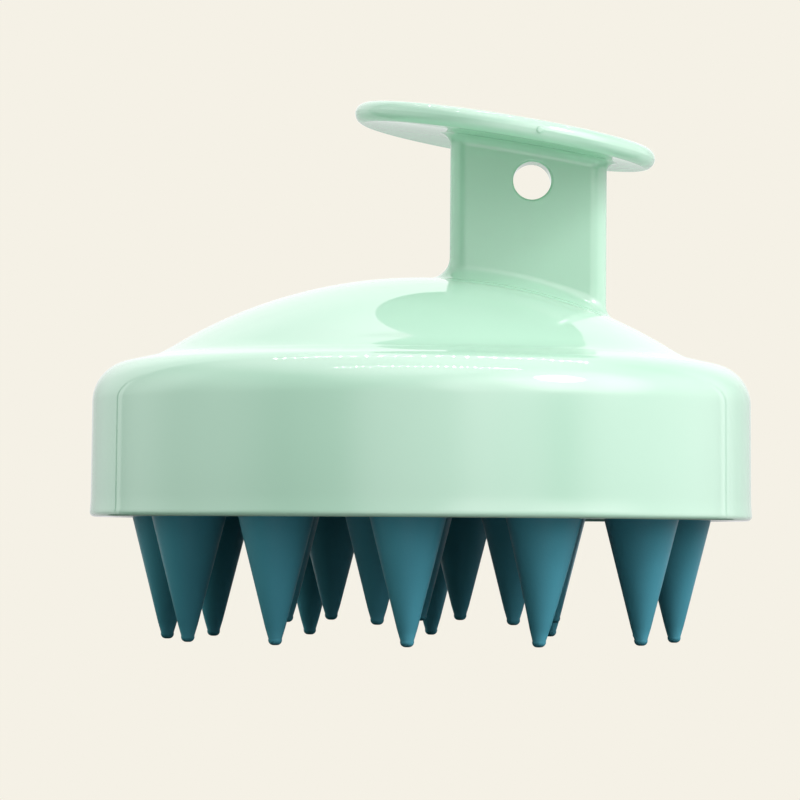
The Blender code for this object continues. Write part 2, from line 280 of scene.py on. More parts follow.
rim_lean = math.atan(2 * GRIP_CROWN * rim_radius / GRIP_RADIUS ** 2)
rim_loops = []
for step in range(2, RIM_STEPS - 1):    # the faces' own edges stand in for the steps left out
    angle = -math.pi / 2 - rim_lean + math.pi * step / RIM_STEPS
    swell = PARTING_LINE * math.exp(-(angle / PARTING_WIDTH) ** 2)
    radius = GRIP_THICKNESS / 2 + swell
    ring = circle_loop(rim_radius + radius * math.cos(angle) - PARTING_LINE)
    rise = np.full(LOOP, rim_crown + radius * math.sin(angle))
    rim_loops.append(tilted(np.column_stack([ring, rise])))


def over_grip(x, y):
    return grip_height(x, y, 1)


top_centre = np.array([[GRIP_CENTRE.x, 0.0]])
top_loops = [on_surface(top_centre + (face_edge(1) - top_centre) * (1 - i / GRIP_STEPS), over_grip)
             for i in range(GRIP_STEPS)]
grip_pole = on_surface(top_centre, over_grip)[0]
print("grip top, mm:", round(1000 * float(max(loop[:, 2].max() for loop in rim_loops + top_loops)), 2))

# %% [markdown]
# ## The turned part: shoulder, skirt, mouth and inside
# From the dome's edge on, everything is round about the axis, so a loop is a radius and a height. The
# dome meets the shoulder in a soft valley, a quadratic curve between the two slopes. The skirt widens
# a touch over its last two millimetres, where the mould's lower edge was eased.

# %% Outline of the turned part
def arc(centre_r, centre_z, radius, start, end, steps):
    """(r, z) points along a round, with angles in degrees from +r towards +z."""
    angles = np.radians(np.linspace(start, end, steps + 1))
    return list(zip(centre_r + radius * np.cos(angles), centre_z + radius * np.sin(angles)))


def valley(start, start_slope, end, end_slope, steps):
    """A curve that leaves one slope and arrives on another; slopes are dz/dr."""
    cross_r = (end[1] - start[1] + start_slope * start[0] - end_slope * end[0]) / (start_slope - end_slope)
    cross = np.array([cross_r, start[1] + start_slope * (cross_r - start[0])])
    start, end = np.array(start), np.array(end)
    ts = np.linspace(0, 1, steps + 1)
    return [tuple((1 - t) ** 2 * start + 2 * t * (1 - t) * cross + t ** 2 * end) for t in ts]


skirt_top_radius = BODY_RADIUS - SKIRT_DRAFT
corner_r = skirt_top_radius - SHOULDER_ROUND
corner_z = FOOT_Z + SKIRT_HEIGHT - SHOULDER_ROUND
corner = arc(corner_r, corner_z, SHOULDER_ROUND, 90 - math.degrees(SHOULDER_SLOPE), 0, 24)
shoulder_r = DOME_EDGE_RADIUS + CREASE_BLEND
shoulder_z = corner[0][1] + (corner[0][0] - shoulder_r) * math.tan(SHOULDER_SLOPE)
edge_r = DOME_EDGE_RADIUS - CREASE_BLEND
edge_z = float(dome_height(edge_r, 0.0))
edge_slope = -edge_r / (edge_z - DOME_CENTRE_Z)
crease = valley((edge_r, edge_z), edge_slope, (shoulder_r, shoulder_z), -math.tan(SHOULDER_SLOPE), 12)
print("shoulder runs from r", round(1000 * shoulder_r, 1), "to", round(1000 * corner[0][0], 1), "mm")

# %% [markdown]
# The skirt's foot is a small round. Inside it a snap bead keeps the pad in, a groove above the bead takes
# the pad's lip, and a ledge is what the lip seats against. None of that shows when the brush stands, so
# it only follows the CAD model's sizes.

# %% Skirt, foot and inside
FLARE_POWER = 1.6
flare_top = FOOT_Z + FOOT_ROUND + FLARE_HEIGHT
flare_r = BODY_RADIUS - SKIRT_FLARE
skirt = [(skirt_top_radius + (flare_r - skirt_top_radius) * t, corner_z + (flare_top - corner_z) * t)
         for t in np.linspace(0, 1, 9)[1:]]
flare = [(flare_r + SKIRT_FLARE * t ** FLARE_POWER, flare_top - FLARE_HEIGHT * t)
         for t in np.linspace(0, 1, 9)[1:]]
foot = arc(BODY_RADIUS - FOOT_ROUND, FOOT_Z + FOOT_ROUND, FOOT_ROUND, 0, -90, 8)[1:]

MOUTH_RADIUS = BODY_RADIUS - WALL
PAD_FACE_Z = FOOT_Z + 1.0 * MM
SEAT_Z = FOOT_Z + 6.4 * MM
FIT = 0.3 * MM
BEAD_DEPTH = 0.6 * MM
BEAD_RUN = 0.2 * MM
LEDGE_WIDTH = 1.0 * MM
POLE_GAP = 3.0 * MM
bead_r = MOUTH_RADIUS - BEAD_DEPTH
wall_r = MOUTH_RADIUS - LEDGE_WIDTH
ceiling_round = SHOULDER_ROUND - WALL
ceiling_z = FOOT_Z + SKIRT_HEIGHT - WALL
mouth = [(MOUTH_RADIUS, FOOT_Z), (bead_r, FOOT_Z + FIT),
         (bead_r, PAD_FACE_Z - FIT - BEAD_RUN), (MOUTH_RADIUS, PAD_FACE_Z - FIT),
         (MOUTH_RADIUS, SEAT_Z), (wall_r, SEAT_Z)]
ceiling = arc(wall_r - ceiling_round, ceiling_z - ceiling_round, ceiling_round, 0, 90, 8)
inner_dome = [(r, float(dome_height(r, 0.0, WALL)))
              for r in np.linspace(DOME_EDGE_RADIUS - WALL, POLE_GAP, 10)]
outline = crease[1:] + corner + skirt + flare + foot + mouth + ceiling + inner_dome
turned_loops = [np.column_stack([circle_loop(r), np.full(LOOP, z)]) for r, z in outline]
print("outline points:", len(outline))

# %% [markdown]
# ## Skinning the loops
# Every loop is added as a row of vertices, neighbouring rows are joined with quads, and a fan of
# triangles closes each end. Straight stretches of the stem get a few extra rows between the fillets.

# %% Build the shell's mesh
def mesh_object(name, points, faces):
    """A new object in the scene, made of points and the faces between them."""
    mesh = bpy.data.meshes.new(name)
    mesh.from_pydata([tuple(p) for p in points], [], faces)
    ob = bpy.data.objects.new(name, mesh)
    bpy.context.scene.collection.objects.link(ob)
    return ob


def skin(name, loops, first_pole, last_pole):
    """A closed mesh over a stack of loops, with a point at each end."""
    count = len(loops[0])
    vertices = np.vstack([[first_pole], *loops, [last_pole]])
    faces = []
    for row in range(len(loops) - 1):
        a, b = 1 + row * count, 1 + (row + 1) * count
        faces += [(a + i, a + (i + 1) % count, b + (i + 1) % count, b + i) for i in range(count)]
    last = len(vertices) - 1
    faces += [(0, 1 + (i + 1) % count, 1 + i) for i in range(count)]
    faces += [(last, last - count + i, last - count + (i + 1) % count) for i in range(count)]
    ob = mesh_object(name, vertices, faces)
    bm = bmesh.new()
    bm.from_mesh(ob.data)
    bmesh.ops.recalc_face_normals(bm, faces=bm.faces)
    bm.to_mesh(ob.data)
    bm.free()
    ob.data.shade_smooth()
    return ob


stem_low, stem_high = foot_loops[-1], head_loops[-1]
stem_middle = [stem_high + (stem_low - stem_high) * i / STEM_STEPS for i in range(1, STEM_STEPS)]
handle = skin("handle_moulding",
              top_loops[::-1] + rim_loops[::-1] + under_loops[::-1] + head_loops + stem_middle
              + foot_loops[::-1] + dome_loops + turned_loops,
              grip_pole, (0.0, 0.0, DOME_TOP_Z - WALL))
print(handle.name, len(handle.data.polygons), "faces")

# %% [markdown]
# ## The hang hole
# The hole is cut with a Boolean, because it goes through flat faces, where a cut leaves no trace. The
# cutter flares out at both ends along a quarter round, which leaves the hole with softened edges.

# %% Cut the hang hole
def turned(name, outline, segments):
    """Spin an (r, z) outline about Z into a closed mesh object."""
    angles = np.arange(segments) * 2 * math.pi / segments
    around = np.column_stack([np.cos(angles), np.sin(angles)])
    loops = [np.column_stack([around * r, np.full(segments, z)]) for r, z in outline[1:-1]]
    return skin(name, loops, (0.0, 0.0, outline[0][1]), (0.0, 0.0, outline[-1][1]))


def boolean(ob, tool, operation):
    """Apply a Boolean and remove its tool."""
    modifier = ob.modifiers.new(tool.name, "BOOLEAN")
    modifier.operation = operation
    modifier.object = tool
    depsgraph = bpy.context.evaluated_depsgraph_get()
    mesh = bpy.data.meshes.new_from_object(ob.evaluated_get(depsgraph))
    ob.modifiers.clear()
    ob.data = mesh
    bpy.data.objects.remove(tool)


HOLE_SEGMENTS = 96
CUTTER_PAST = 0.4 * MM
bore = HOLE_DIAMETER / 2
half = STEM_THICKNESS / 2
flare_arc = arc(bore + HOLE_EDGE_ROUND, half - HOLE_EDGE_ROUND, HOLE_EDGE_ROUND, 96, 180, 8)
past = [(0.0, half + CUTTER_PAST), (flare_arc[0][0], half + CUTTER_PAST)]
near_side = past + flare_arc
far_side = [(r, -z) for r, z in near_side[::-1]]
cutter = turned("hang_hole", near_side + far_side, HOLE_SEGMENTS)
cutter.location = (HOLE_X, 0.0, HOLE_Z)
cutter.rotation_euler = (math.pi / 2, 0.0, 0.0)
boolean(handle, cutter, "DIFFERENCE")
print(handle.name, len(handle.data.polygons), "faces with the hole")

# %% [markdown]
# Smooth shading averages the directions of the faces round each vertex. Where small faces meet large
# ones that average is a little off, and gloss shows it. The true directions are known here, so they are
# set: flat on the stem's faces, round in the hole, and exactly spherical on the dome.

# %% Normals of the flats, the hole, the dome and the grip
vertices = handle.data.vertices
points = np.array([v.co for v in vertices])
normals = np.array([v.normal for v in vertices])
TOUCHING = 0.0002 * MM
FAR_OFF = 9.0
SLOPE_STEP = 0.01 * MM


def slope_normals(xy, height, side):
    """Directions square to a surface given by its height; side is 1 for facing up and -1 for down."""
    step = SLOPE_STEP
    x, y = xy.T
    dx = (height(x + step, y) - height(x - step, y)) / (2 * step)
    dy = (height(x, y + step) - height(x, y - step)) / (2 * step)
    square = np.column_stack([-dx, -dy, np.ones(len(x))]) * side
    return square / np.linalg.norm(square, axis=1)[:, None]


side_y = np.sign(points[:, 1])
from_axis = points[:, [0, 2]] - [HOLE_X, HOLE_Z]
distance = np.linalg.norm(from_axis, axis=1)
flat = np.abs(np.abs(points[:, 1]) - half) < TOUCHING
normals[flat] = np.column_stack([0 * side_y, side_y, 0 * side_y])[flat]
in_hole = (distance < bore + HOLE_EDGE_ROUND - TOUCHING) & (np.abs(points[:, 1]) < half)
lip = np.clip((np.abs(points[:, 1]) - half + HOLE_EDGE_ROUND) / HOLE_EDGE_ROUND, 0, 1)
inward = -from_axis / distance[:, None] * np.sqrt(1 - lip ** 2)[:, None]
normals[in_hole] = np.column_stack([inward[:, 0], side_y * lip, inward[:, 1]])[in_hole]
for height, side in ((dome_height, 1), (under_grip, -1), (over_grip, 1)):
    near_axis = np.hypot(points[:, 0], points[:, 1]) < DOME_EDGE_RADIUS
    level = np.full(len(points), FAR_OFF)
    level[near_axis] = height(points[near_axis, 0], points[near_axis, 1])
    on_it = near_axis & (np.abs(points[:, 2] - level) < TOUCHING)
    normals[on_it] = slope_normals(points[on_it, :2], height, side)
print("normals set on the flats:", int(flat.sum()), "and in the hole:", int(in_hole.sum()))

# %% [markdown]
# On a fillet the direction turns from the stem's own, straight out, to the one of the surface it runs
# into. How far it has turned follows from how far out the point lies, because the fillet is a quarter
# round. When every direction is known, they are given to the mesh in one go.

# %% Normals of the fillets
TINY = 1e-9
half_section = np.array([STEM_WIDTH, STEM_THICKNESS]) / 2 - STEM_EDGE_ROUND
from_stem = points[:, :2] - [STEM_X, 0.0]
corner_way = np.maximum(np.abs(from_stem) - half_section, 0) * np.sign(from_stem)
reach = np.maximum(np.linalg.norm(corner_way, axis=1), TINY)
outward = corner_way / reach[:, None]
for height, side, radius in ((dome_height, 1, FOOT_FILLET - FOOT_FILLET_LEAN * outward[:, 0]),
                             (under_grip, -1, np.full(len(points), HEAD_FILLET))):
    spread = reach - STEM_EDGE_ROUND
    near_stem = (spread > TOUCHING) & (spread < radius - TOUCHING)
    lift = np.full(len(points), FAR_OFF)
    lift[near_stem] = side * (points[near_stem, 2] - height(points[near_stem, 0], points[near_stem, 1]))
    fillet = near_stem & (lift > TOUCHING) & (lift < radius)
    rise = 1 - spread[fillet] / radius[fillet]
    square = slope_normals(points[fillet, :2], height, side)
    square = square * np.sqrt(1 - rise ** 2)[:, None] / np.abs(square[:, 2:])
    square[:, :2] += outward[fillet] * rise[:, None]
    normals[fillet] = square / np.linalg.norm(square, axis=1)[:, None]
    print("normals set on a fillet:", int(fillet.sum()))
handle.data.normals_split_custom_set_from_vertices([tuple(n) for n in normals])

# %% [markdown]
# ## The soft pad
# The pad and its bristles are one silicone moulding: a disc whose lip folds round a stiff plate, and
# nineteen cones that taper to a blunt round tip. The cones are turned, then united with the disc in one
# Boolean, so that each root runs into the pad through a small fillet.

# %% Bristle sizes
BRISTLE_TAPER = math.radians(14.2)
TIP_FLAT = 0.2 * MM
TIP_RADIUS = 0.8 * MM
TIP_ROUND = 0.6 * MM
ROOT_FILLET = 0.6 * MM
PAD_THICKNESS = 1.6 * MM
OUTER_RING_RADIUS = BODY_RADIUS - 9.3 * MM
INNER_RING_RADIUS = OUTER_RING_RADIUS - 14.3 * MM
# Each ring: its radius, how many bristles, the first one's angle in degrees, and how much shorter.
OUTER_RING = (OUTER_RING_RADIUS, 12, -2.7, 0.0)
INNER_RING = (INNER_RING_RADIUS, 6, -17.8, 2.2 * MM)
CENTRE_BRISTLE = (0.0, 1, 0.0, 2.4 * MM)
BRISTLE_SEGMENTS = 40
print("bristle rings at", [round(1000 * r, 1) for r in (OUTER_RING_RADIUS, INNER_RING_RADIUS)], "mm")

# %% [markdown]
# One bristle is an outline turned about its own axis: a fillet at the root, a straight taper, and a blunt
# tip whose round leaves a small flat. The outline starts a little inside the pad, so that the Boolean has
# something to unite.

# %% Bristle outline and places
def bristle_outline(tip_z):
    """(r, z) from the buried root, down the fillet and the taper, round the tip."""
    round_z = tip_z + TIP_ROUND
    fillet_z = PAD_FACE_Z - ROOT_FILLET
    root_r = TIP_RADIUS + (fillet_z - round_z) * math.tan(BRISTLE_TAPER)
    lean = math.degrees(BRISTLE_TAPER)
    fillet = arc(root_r + ROOT_FILLET, fillet_z, ROOT_FILLET, 94, 180, 7)
    cone = [(root_r + (TIP_RADIUS - root_r) * t, fillet_z + (round_z - fillet_z) * t)
            for t in np.linspace(0, 1, 11)[1:-1]]
    turns = np.radians(np.linspace(-lean, 90, 9))
    width = TIP_RADIUS - TIP_FLAT
    tip = [(TIP_FLAT + width * math.cos(a), round_z - TIP_ROUND * math.sin(a)) for a in turns]
    buried = PAD_FACE_Z + PAD_THICKNESS / 2
    return [(0.0, buried), (fillet[0][0], buried)] + fillet + cone + tip + [(0.0, tip_z)]


def ring_places(radius, count, first, shorter):
    """(x, y, tip height) for each bristle of a ring; angles run from -Y towards +X, in degrees."""
    angles = [math.radians(first + 360 * i / count) for i in range(count)]
    return [(radius * math.sin(a), -radius * math.cos(a), shorter) for a in angles]


places = ring_places(*OUTER_RING) + ring_places(*INNER_RING) + ring_places(*CENTRE_BRISTLE)
print(len(places), "bristles")

# %% [markdown]
# Soft bristles are never all quite straight: two of them lean by about half a millimetre at the tip. A
# lean grows with the square of the distance from the root, which is how a cantilever bends.

# %% Make the bristles
LEANS = {1: -0.5 * MM, 14: 0.4 * MM}    # how far each of these tips moves to the right


def lean_over(ob, lean):
    """Bend a bristle to the right, most at its tip."""
    for vertex in ob.data.vertices:
        vertex.co.x += lean * max(0.0, (PAD_FACE_Z - vertex.co.z) / PAD_FACE_Z) ** 2


bristles = []
for number, (x, y, tip_z) in enumerate(places):
    bristle = turned(f"bristle_{number:02d}", bristle_outline(tip_z), BRISTLE_SEGMENTS)
    lean_over(bristle, LEANS.get(number, 0.0))
    bristle.data.transform(Matrix.Translation((x, y, 0.0)))
    bristles.append(bristle)
print("bristle height, mm:", round(1000 * (PAD_FACE_Z - places[0][2]), 2))

# %% [markdown]
# The pad is turned too. Its lip goes up past the plate's edge and folds in over it, and the lower corner
# of its rim is rounded. All the bristles become one mesh first, so that one Boolean joins them to the
# pad. Edges sharper than 50 degrees stay crisp.

# %% Make the pad and unite it with the bristles
PAD_SEGMENTS = 160
PAD_LIP = 1.1 * MM
LIP_REACH = 2.0 * MM
CRISP_ANGLE = math.radians(50)
pad_radius = pad_high.x
pad_back = PAD_FACE_Z + PAD_THICKNESS
lip_back = pad_high.z
lip_face = lip_back - PAD_LIP
lip_inside = pad_radius - PAD_LIP
lip_end = lip_inside - LIP_REACH
edge = PAD_LIP / 2
rounded_edge = arc(pad_radius - edge, PAD_FACE_Z + edge, edge, 0, -90, 6)
pad_outline = ([(0.0, pad_back), (lip_inside, pad_back), (lip_inside, lip_face), (lip_end, lip_face),
                (lip_end, lip_back), (pad_radius, lip_back)] + rounded_edge + [(0.0, PAD_FACE_Z)])
pad = turned("pad_moulding", pad_outline, PAD_SEGMENTS)

joined = bmesh.new()
for bristle in bristles:
    joined.from_mesh(bristle.data)
all_bristles = bristles[0]
joined.to_mesh(all_bristles.data)
joined.free()
for bristle in bristles[1:]:
    bpy.data.objects.remove(bristle)
boolean(pad, all_bristles, "UNION")
pad.data.shade_smooth()
pad.data.set_sharp_from_angle(angle=CRISP_ANGLE)
print(pad.name, len(pad.data.polygons), "faces")

# %% [markdown]
# ## The gate mark
# Molten plastic enters a mould through a gate, and breaking the moulding off leaves a small round stub.
# Here it sits on the rim of the grip, a little to the right of the middle.

# %% Make the gate mark
GATE_RADIUS = 0.45 * MM
GATE_HEIGHT = 0.16 * MM
GATE_ANGLE = math.radians(-78)
gate_shoulder = GATE_HEIGHT * 0.8
gate_outline = [(0.0, gate_shoulder), (GATE_RADIUS * 0.55, GATE_HEIGHT), (GATE_RADIUS * 0.8, gate_shoulder),
                (GATE_RADIUS, 0.0), (GATE_RADIUS, -GATE_HEIGHT * 2), (0.0, -GATE_HEIGHT * 2)]
gate = turned("gate_mark", gate_outline, 24)
gate_way = Vector((math.cos(GATE_ANGLE), math.sin(GATE_ANGLE), 0.0))
gate_r = GRIP_RADIUS - PARTING_LINE
gate_point = tilted(np.array([[gate_r * gate_way.x, gate_r * gate_way.y, rim_crown]]))[0]
gate.location = gate_point
gate.rotation_euler = gate_way.to_track_quat("Z", "Y").to_euler()
print("gate mark at, mm:", [round(1000 * c, 1) for c in gate_point])

# %% [markdown]
# ## Colours and shader nodes
# Colours are picked as sRGB hex values, the way a screen shows them, and a shader needs them linear. One
# helper does that. Another adds a node, sets its properties and fills or links its inputs, which keeps
# each material short enough to read.

# %% Helpers for materials
def linear(hex_colour):
    """An sRGB hex colour as linear (r, g, b, 1)."""
    parts = [int(hex_colour[i:i + 2], 16) / 255 for i in (1, 3, 5)]
    return (*[c / 12.92 if c <= 0.04045 else ((c + 0.055) / 1.055) ** 2.4 for c in parts], 1.0)


def add_node(tree, kind, inputs=None, **settings):
    """Add a shader node, set its properties, and fill or link its inputs."""
    node = tree.nodes.new("ShaderNode" + kind)
    for name, value in settings.items():
        setattr(node, name, value)
    for key, value in (inputs or {}).items():
        if isinstance(value, bpy.types.NodeSocket):
            tree.links.new(value, node.inputs[key])
        else:
            node.inputs[key].default_value = value
    return node


def new_material(name):
    """An empty node material, its tree and its Principled shader, already joined to the output."""
    material = bpy.data.materials.new(name)
    material.use_nodes = True
    tree = material.node_tree
    return material, tree, tree.nodes["Principled BSDF"]


print("mint, linear:", [round(c, 3) for c in linear("#96D3AE")[:3]])

# %% [markdown]
# ## Moulded ABS, mint
# ABS from a polished steel mould is glossy and opaque, with an index of refraction near 1.53. Close up
# its gloss isn't perfect: the skin has a very shallow orange peel a couple of millimetres across, the
# colour drifts by a percent or so where the melt flowed, and handling leaves some spots a little hazy.
# A noise texture of scale 1 has features about a metre across, so each scale is one over a real width.

# %% Moulded ABS, mint
FLOW_WIDTH = 18.2 * MM
HAZE_WIDTH = 4.17 * MM
PEEL_WIDTH = 2.38 * MM
PEEL_DEPTH = 0.002 * MM
abs_mint, tree, shader = new_material("moulded_abs_mint")
place = add_node(tree, "TexCoord").outputs["Object"]
flow = add_node(tree, "TexNoise",
                {"Vector": place, "Scale": 1 / FLOW_WIDTH, "Detail": 2.0, "Roughness": 0.5})
shade = add_node(tree, "Mix", {"Factor": flow.outputs["Fac"], "A": linear("#A1D5B6"), "B": linear("#A7D9BB")},
                 data_type="RGBA")
tree.links.new(shade.outputs["Result"], shader.inputs["Base Color"])
haze = add_node(tree, "TexNoise",
                {"Vector": place, "Scale": 1 / HAZE_WIDTH, "Detail": 3.0, "Roughness": 0.6})
gloss = add_node(tree, "MapRange", {"Value": haze.outputs["Fac"], "From Min": 0.3, "From Max": 0.7,
                                    "To Min": 0.03, "To Max": 0.055})
tree.links.new(gloss.outputs["Result"], shader.inputs["Roughness"])
peel = add_node(tree, "TexNoise",
                {"Vector": place, "Scale": 1 / PEEL_WIDTH, "Detail": 1.0, "Roughness": 0.4})
bump = add_node(tree, "Bump", {"Height": peel.outputs["Fac"], "Strength": 1.0, "Distance": PEEL_DEPTH})
tree.links.new(bump.outputs["Normal"], shader.inputs["Normal"])
shader.inputs["IOR"].default_value = 1.53
shader.inputs["Specular IOR Level"].default_value = 0.75
handle.data.materials.clear()
handle.data.materials.append(abs_mint)
gate.data.materials.append(abs_mint)
print(abs_mint.name, len(tree.nodes), "nodes")

# %% [markdown]
# ## Moulded silicone, teal
# The bristles are silicone rubber: satin rather than glossy, with an index of refraction near 1.41, and
# coloured right through. Its skin copies the fine matt finish of the mould. That grain is under a tenth
# of a millimetre wide on the real thing, too fine to show, so it is drawn about 0.4 mm wide.

# %% Moulded silicone, teal
TONE_WIDTH = 8.33 * MM
GRAIN_WIDTH = 0.385 * MM
GRAIN_DEPTH = 0.02 * MM
silicone, tree, shader = new_material("moulded_silicone_teal")
place = add_node(tree, "TexCoord").outputs["Object"]
tone = add_node(tree, "TexNoise",
                {"Vector": place, "Scale": 1 / TONE_WIDTH, "Detail": 3.0, "Roughness": 0.55})
shade = add_node(tree, "Mix", {"Factor": tone.outputs["Fac"], "A": linear("#42909A"), "B": linear("#499CA6")},
                 data_type="RGBA")
tree.links.new(shade.outputs["Result"], shader.inputs["Base Color"])
grain = add_node(tree, "TexNoise",
                 {"Vector": place, "Scale": 1 / GRAIN_WIDTH, "Detail": 2.0, "Roughness": 0.6})
satin = add_node(tree, "MapRange", {"Value": grain.outputs["Fac"], "From Min": 0.3, "From Max": 0.7,
                                    "To Min": 0.36, "To Max": 0.46})
tree.links.new(satin.outputs["Result"], shader.inputs["Roughness"])
bump = add_node(tree, "Bump", {"Height": grain.outputs["Fac"], "Strength": 0.6, "Distance": GRAIN_DEPTH})
tree.links.new(bump.outputs["Normal"], shader.inputs["Normal"])
shader.inputs["IOR"].default_value = 1.41
shader.inputs["Specular IOR Level"].default_value = 0.15
pad.data.materials.clear()
pad.data.materials.append(silicone)
print(silicone.name, len(tree.nodes), "nodes")

# %% [markdown]
# ## Moulded ABS, teal
# The plate that stiffens the pad is out of sight inside it. The CAD shape is right as it is, so it stays,
# and only gets a matt moulded finish: nobody polishes a mould for a part that isn't seen. The mould's
# spark-cut texture is finer than a tenth of a millimetre, and is drawn coarser so that it can show.

# %% Moulded ABS, teal
PLATE_FLOW_WIDTH = 16.7 * MM
SPARK_WIDTH = 0.556 * MM
SPARK_DEPTH = 0.02 * MM
abs_teal, tree, shader = new_material("moulded_abs_teal")
place = add_node(tree, "TexCoord").outputs["Object"]
flow = add_node(tree, "TexNoise",
                {"Vector": place, "Scale": 1 / PLATE_FLOW_WIDTH, "Detail": 2.0, "Distortion": 0.4})
shade = add_node(tree, "Mix", {"Factor": flow.outputs["Fac"], "A": linear("#165258"), "B": linear("#1C5D63")},
                 data_type="RGBA")
tree.links.new(shade.outputs["Result"], shader.inputs["Base Color"])
spark = add_node(tree, "TexNoise", {"Vector": place, "Scale": 1 / SPARK_WIDTH, "Detail": 2.0})
matt = add_node(tree, "MapRange", {"Value": spark.outputs["Fac"], "From Min": 0.3, "From Max": 0.7,
                                   "To Min": 0.42, "To Max": 0.58})
tree.links.new(matt.outputs["Result"], shader.inputs["Roughness"])
bump = add_node(tree, "Bump", {"Height": spark.outputs["Fac"], "Strength": 0.5, "Distance": SPARK_DEPTH})
tree.links.new(bump.outputs["Normal"], shader.inputs["Normal"])
shader.inputs["IOR"].default_value = 1.53
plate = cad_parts["pad_plate"]
for material_slot in plate.material_slots:
    material_slot.material = abs_teal
print(plate.name, "keeps its CAD shape")

# %% [markdown]
# ## Joining the pieces to the frame
# Nothing on this brush turns or slides, so every piece rides on the one body, `root`. Each new moulding
# stands for the CAD node that it was built over, and that CAD node is hidden.

# %% Ride and replace
for piece, slot_name in ((handle, "shell"), (gate, "shell"), (pad, "bristles")):
    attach(piece, "root")
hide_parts("handle_shell")
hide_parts("bristle_pad")

# %% [markdown]
# ## The floor
# The brush stands on its bristle tips over a pale, evenly lit sheet. The sheet glows with the backdrop's
# own colour, as a light table does, so it meets the backdrop without a line.

# %% Floor
BACKDROP = "#F5F1E6"
FLOOR_REACH = 12.0
FLOOR_DROP = 0.05 * MM
corners = [(-1, -1), (1, -1), (1, 1), (-1, 1)]
floor = mesh_object("floor", [(x * FLOOR_REACH, y * FLOOR_REACH, 0.0) for x, y in corners], [(0, 1, 2, 3)])
floor.location.z = cad_low.z - FLOOR_DROP
sheet_white, tree, shader = new_material("light_table")
tree.nodes.remove(shader)
glow = add_node(tree, "Emission", {"Color": linear(BACKDROP), "Strength": 1.0})
tree.links.new(glow.outputs["Emission"], tree.nodes["Material Output"].inputs["Surface"])
floor.data.materials.append(sheet_white)
floor.visible_diffuse = False
floor.visible_glossy = False
floor.visible_shadow = False
print("floor at z", round(1000 * floor.location.z, 2), "mm")

# %% [markdown]
# ## Studio light
# Glossy plastic is mostly a picture of the room around it. The room is painted into the world as soft
# round patches of light. Each one is given by its direction, by the two angles between which it fades,
# by its strength and by its tint. A patch is a dot product with its direction, mapped to a soft edge.

# %% Helpers for patches of light
world = bpy.data.worlds.new("studio")
bpy.context.scene.world = world
world.use_nodes = True
tree = world.node_tree
tree.nodes.clear()
towards = add_node(tree, "TexCoord").outputs["Generated"]


def direction(azimuth, elevation):
    """A unit vector; azimuth in degrees from -Y towards +X."""
    a, e = math.radians(azimuth), math.radians(elevation)
    return (math.sin(a) * math.cos(e), -math.cos(a) * math.cos(e), math.sin(e))


def light_patch(tree, azimuth, elevation, outer, inner, strength, tint, total):
    """Add a soft round patch of light that fades between two angles, in degrees, to a sum."""
    facing = add_node(tree, "VectorMath", {0: towards, 1: direction(azimuth, elevation)},
                      operation="DOT_PRODUCT")
    fade = add_node(tree, "MapRange", {"Value": facing.outputs["Value"],
                                       "From Min": math.cos(math.radians(outer)),
                                       "From Max": math.cos(math.radians(inner)),
                                       "To Min": 0.0, "To Max": strength}, interpolation_type="SMOOTHSTEP")
    light = add_node(tree, "VectorMath", {0: linear(tint)[:3], "Scale": fade.outputs["Result"]},
                     operation="SCALE")
    grown = add_node(tree, "VectorMath", {0: light.outputs["Vector"], 1: total}, operation="ADD")
    return grown.outputs["Vector"]


print("straight up is", [round(c, 3) for c in direction(0, 90)])

# %% [markdown]
# The key light is a small, sharp softbox, high to the right, inside a wide glow. Walls, an overhead lamp
# and a fill from the front do the rest, the table throws light up, and the backdrop shines from behind.
# The lamps are a touch pink, which keeps the mint from turning too green. The camera itself sees only
# the plain backdrop.

# %% World
LAMP, OVERHEAD_LAMP, WALL_WHITE = "#FFEAF6", "#FFE0F2", "#FFFFFF"
# Name, azimuth, elevation, outer angle, inner angle, strength, tint.
PATCHES = (("key softbox", 57, 40, 8.4, 7.8, 13.0, LAMP), ("key glow", 62, 32, 34, 0, 2.8, LAMP),
           ("overhead", 0, 90, 50, 15, 1.6, OVERHEAD_LAMP), ("right wall", 95, 10, 50, 10, 1.3, LAMP),
           ("right front", 30, 23, 30, 8, 1.9, LAMP), ("left wall", 270, 10, 45, 10, 1.0, WALL_WHITE),
           ("high front", 0, 50, 35, 10, 0.8, LAMP), ("back left", 235, 25, 40, 10, 0.6, WALL_WHITE),
           ("front fill", 0, 0, 30, 12, 0.8, LAMP), ("table", 0, -48, 48, 10, 1.5, LAMP),
           ("backdrop", 180, 5, 54, 52, 0.6, WALL_WHITE),
           ("backdrop top", 180, 28, 32, 10, 0.5, WALL_WHITE))
DIM_ROOM = 0.15
total = (DIM_ROOM, DIM_ROOM, DIM_ROOM)
for name, azimuth, elevation, outer, inner, strength, tint in PATCHES:
    total = light_patch(tree, azimuth, elevation, outer, inner, strength, tint, total)
room = add_node(tree, "Background", {"Color": total, "Strength": 1.0})
plain = add_node(tree, "Background", {"Color": linear(BACKDROP), "Strength": 1.0})
seen = add_node(tree, "LightPath").outputs["Is Camera Ray"]
both = add_node(tree, "MixShader", {0: seen, 1: room.outputs[0], 2: plain.outputs[0]})
add_node(tree, "OutputWorld", {"Surface": both.outputs[0]})
print("light patches:", [patch[0] for patch in PATCHES])

# %% [markdown]
# Between the bristles it is nearly black. A round card of black paper lies under the brush, just where
# the pad's own shadow would fall, and keeps the table's glow from the inner bristles. The camera doesn't
# see the card.

